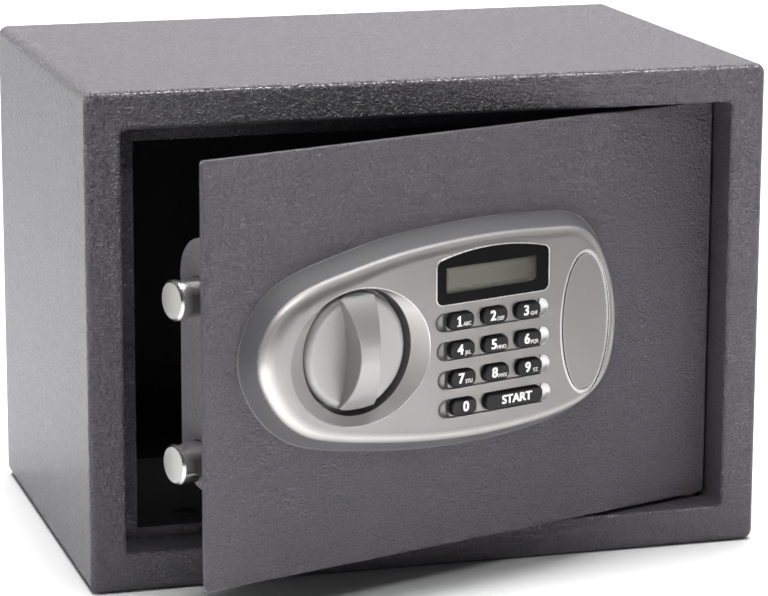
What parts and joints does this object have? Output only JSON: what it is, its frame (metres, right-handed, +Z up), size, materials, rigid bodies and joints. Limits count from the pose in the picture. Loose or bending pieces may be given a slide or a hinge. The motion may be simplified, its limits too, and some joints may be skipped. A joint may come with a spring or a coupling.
{
  "type": "electronic safe deposit box",
  "caption": "Small sheet-steel safe with a recessed hinged door standing ajar, an oval lock panel with knob, keypad, display window and key-lock cover, and round bolts at the free edge",
  "frame": {"origin": "centre of the base footprint of the box body, on the face it stands on; door ajar by 18.5 degrees", "axes": "+X to the right seen from the front, +Y to the rear, +Z up; the front face of the box is at y = -0.115"},
  "size_m": [0.35, 0.309, 0.25],
  "materials": {
    "case_paint": "fine orange-peel powder coat, grey",
    "plain_steel": "zinc plated, satin",
    "felt": "needle felt",
    "door_paint": "fine orange-peel powder coat, grey",
    "brass": "turned, satin",
    "cover_plastic": "fine-grained moulding",
    "escutcheon_satin": "metallic silver-grey satin coat",
    "lens": "gloss black frame round a smoked window",
    "display_grey": "liquid crystal module",
    "board": "printed circuit board",
    "mat_rubber": "silicone, matt",
    "coil_wrap": "wrapped coil",
    "spring_steel": "drawn wire",
    "bolt_chrome": "polished, plated",
    "cell_sleeve": "printed sleeve, plain",
    "knob_satin": "metallic silver-grey satin coat",
    "button_red": "moulded",
    "key_rubber": "black, semi-matt, white legends"
  },
  "bodies": {
    "case": {"body_shell": "case_paint", "back_panel": "case_paint", "door_stop_frame": "case_paint", "bolt_keeper": "case_paint", "hinge_bracket_upper": "plain_steel", "hinge_bracket_lower": "plain_steel", "floor_mat": "felt"},
    "door": {"door_plate": "door_paint", "hinge_lug_upper": "plain_steel", "hinge_lug_lower": "plain_steel", "hinge_pins": "plain_steel", "hinge_washers": "brass", "bolt_bracket": "door_paint", "mechanism_cover": "cover_plastic", "cover_screws": "plain_steel", "escutcheon": "escutcheon_satin", "escutcheon_screws": "plain_steel", "display_lens": "lens", "display_module": "display_grey", "keypad_pcb": "board", "keypad_mat": "mat_rubber", "knob_bush": "brass", "solenoid_frame": "plain_steel", "solenoid_coil": "coil_wrap", "solenoid_screws": "plain_steel", "plunger_spring": "spring_steel", "emergency_lock_body": "bolt_chrome", "emergency_lock_nut": "brass", "battery_holder": "cover_plastic", "battery_cells": "cell_sleeve", "reset_switch": "cover_plastic"},
    "knob_group": {"knob": "knob_satin", "knob_shaft": "plain_steel", "crank_plate": "plain_steel", "crank_pin": "plain_steel", "crank_screw": "plain_steel"},
    "bolt_carriage": {"bolt_carrier": "plain_steel", "locking_bolt_upper": "bolt_chrome", "locking_bolt_lower": "bolt_chrome", "bolt_screws": "plain_steel"},
    "plunger": {"solenoid_plunger": "plain_steel"},
    "emergency_group": {"emergency_barrel": "bolt_chrome", "emergency_cam": "plain_steel", "emergency_cam_screw": "plain_steel"},
    "lock_cover": {"oval_cover": "escutcheon_satin"},
    "battery_lid": {"battery_cover": "cover_plastic"},
    "reset": {"reset_button": "button_red"},
    "key_0_cap": {"key_0": "key_rubber"},
    "key_1_cap": {"key_1": "key_rubber"},
    "key_2_cap": {"key_2": "key_rubber"},
    "key_3_cap": {"key_3": "key_rubber"},
    "key_4_cap": {"key_4": "key_rubber"},
    "key_5_cap": {"key_5": "key_rubber"},
    "key_6_cap": {"key_6": "key_rubber"},
    "key_7_cap": {"key_7": "key_rubber"},
    "key_8_cap": {"key_8": "key_rubber"},
    "key_9_cap": {"key_9": "key_rubber"},
    "key_start_cap": {"key_start": "key_rubber"}
  },
  "joints": [
    {"name": "door_swing", "type": "hinge", "parent": "case", "child": "door", "pos_m": [0.1475, -0.0905, 0.125], "axis": [0, 0, 1], "range_deg": [-18.5, 76.5]},
    {"name": "knob_turn", "type": "hinge", "parent": "door", "child": "knob_group", "pos_m": [-0.06477, -0.15731, 0.1307], "axis": [0.3173, -0.9483, 0], "range_deg": [0, 60]},
    {"name": "bolt_throw", "type": "slide", "parent": "door", "child": "bolt_carriage", "axis": [-0.9483, -0.3173, 0], "range_m": [0, 0.016]},
    {"name": "plunger_drop", "type": "slide", "parent": "door", "child": "plunger", "axis": [0, 0, 1], "range_m": [-0.0062, 0], "deforming": ["plunger_spring"]},
    {"name": "emergency_turn", "type": "hinge", "parent": "door", "child": "emergency_group", "pos_m": [0.06543, -0.11374, 0.1286], "axis": [-0.3173, 0.9483, 0], "range_deg": [0, 90]},
    {"name": "lock_cover_lift", "type": "slide", "parent": "door", "child": "lock_cover", "axis": [0.3173, -0.9483, 0], "range_m": [0, 0.03]},
    {"name": "battery_lid_lift", "type": "slide", "parent": "door", "child": "battery_lid", "axis": [-0.3173, 0.9483, 0], "range_m": [0, 0.03]},
    {"name": "reset_press", "type": "slide", "parent": "door", "child": "reset", "axis": [0.3173, -0.9483, 0], "range_m": [0, 0.001], "stiffness_N_per_m": 300},
    {"name": "key_0_press", "type": "slide", "parent": "door", "child": "key_0_cap", "axis": [-0.3173, 0.9483, 0], "range_m": [0, 0.0012], "stiffness_N_per_m": 400},
    {"name": "key_1_press", "type": "slide", "parent": "door", "child": "key_1_cap", "axis": [-0.3173, 0.9483, 0], "range_m": [0, 0.0012], "stiffness_N_per_m": 400},
    {"name": "key_2_press", "type": "slide", "parent": "door", "child": "key_2_cap", "axis": [-0.3173, 0.9483, 0], "range_m": [0, 0.0012], "stiffness_N_per_m": 400},
    {"name": "key_3_press", "type": "slide", "parent": "door", "child": "key_3_cap", "axis": [-0.3173, 0.9483, 0], "range_m": [0, 0.0012], "stiffness_N_per_m": 400},
    {"name": "key_4_press", "type": "slide", "parent": "door", "child": "key_4_cap", "axis": [-0.3173, 0.9483, 0], "range_m": [0, 0.0012], "stiffness_N_per_m": 400},
    {"name": "key_5_press", "type": "slide", "parent": "door", "child": "key_5_cap", "axis": [-0.3173, 0.9483, 0], "range_m": [0, 0.0012], "stiffness_N_per_m": 400},
    {"name": "key_6_press", "type": "slide", "parent": "door", "child": "key_6_cap", "axis": [-0.3173, 0.9483, 0], "range_m": [0, 0.0012], "stiffness_N_per_m": 400},
    {"name": "key_7_press", "type": "slide", "parent": "door", "child": "key_7_cap", "axis": [-0.3173, 0.9483, 0], "range_m": [0, 0.0012], "stiffness_N_per_m": 400},
    {"name": "key_8_press", "type": "slide", "parent": "door", "child": "key_8_cap", "axis": [-0.3173, 0.9483, 0], "range_m": [0, 0.0012], "stiffness_N_per_m": 400},
    {"name": "key_9_press", "type": "slide", "parent": "door", "child": "key_9_cap", "axis": [-0.3173, 0.9483, 0], "range_m": [0, 0.0012], "stiffness_N_per_m": 400},
    {"name": "key_start_press", "type": "slide", "parent": "door", "child": "key_start_cap", "axis": [-0.3173, 0.9483, 0], "range_m": [0, 0.0012], "stiffness_N_per_m": 400}
  ],
  "couplings": [
    {"joint": "knob_turn", "follows": "bolt_throw", "rad_per_m": 65.449}
  ]
}
